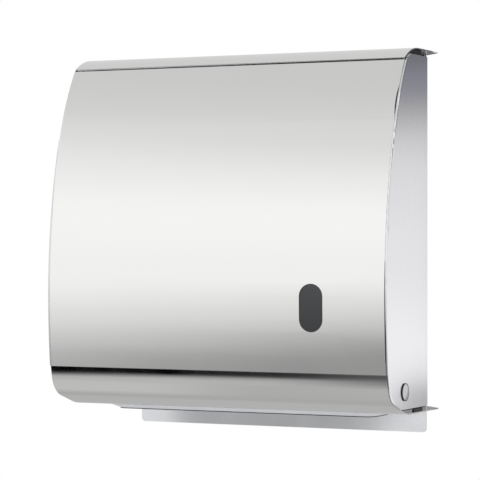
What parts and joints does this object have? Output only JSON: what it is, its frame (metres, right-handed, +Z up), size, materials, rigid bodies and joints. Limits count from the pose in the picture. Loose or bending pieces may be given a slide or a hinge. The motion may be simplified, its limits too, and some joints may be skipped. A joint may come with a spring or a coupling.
{
  "type": "paper towel dispenser",
  "caption": "Wall dispenser for interfolded paper towels: a curved steel cover that tilts forward over a towel bin, with a throat below and a key lock on top.",
  "frame": {"origin": "centre of the four wall holes, on the wall face", "axes": "+X across the wall to the viewer's right, +Y into the wall, +Z up"},
  "size_m": [0.274, 0.1197, 0.2806],
  "materials": {
    "polished_steel": "mirror polished stainless steel",
    "satin_steel": "satin stainless steel",
    "mill_steel": "mill finish stainless steel",
    "zinc": "bright zinc plated steel",
    "lock_nickel": "nickel plated lock body",
    "guard_plastic": "light grey moulded plastic",
    "nylon": "natural nylon",
    "black_rubber": "black rubber",
    "smoked_pane": "smoked acrylic",
    "black_plastic": "black moulded plastic"
  },
  "bodies": {
    "cabinet": {"back_channel": "mill_steel", "top_cap": "polished_steel", "bottom_trough": "polished_steel", "throat_guard": "guard_plastic", "hinge_bosses": "zinc", "hinge_washers": "nylon", "right_hinge_pin": "satin_steel", "left_hinge_pin": "satin_steel", "hinge_seals": "black_rubber", "stop_studs": "zinc", "stop_sleeves": "black_rubber", "door_bumpers": "black_rubber", "lock_barrel": "lock_nickel", "lock_nut": "zinc"},
    "door": {"front_door": "polished_steel", "right_cheek": "satin_steel", "left_cheek": "satin_steel", "hinge_bushes": "nylon", "sight_window": "smoked_pane", "window_retainer": "black_plastic", "lock_strike": "mill_steel", "strike_rivets": "zinc"},
    "lock": {"lock_plug": "lock_nickel", "lock_cam": "zinc", "cam_screw": "zinc"}
  },
  "joints": [
    {"name": "door_tilt", "type": "hinge", "parent": "cabinet", "child": "door", "pos_m": [0, -0.0844, -0.1063], "axis": [1, 0, 0], "range_deg": [0, 65]},
    {"name": "lock_turn", "type": "hinge", "parent": "cabinet", "child": "lock", "pos_m": [0, -0.03074, 0.12], "axis": [0, 0, 1], "range_deg": [0, 90]}
  ]
}
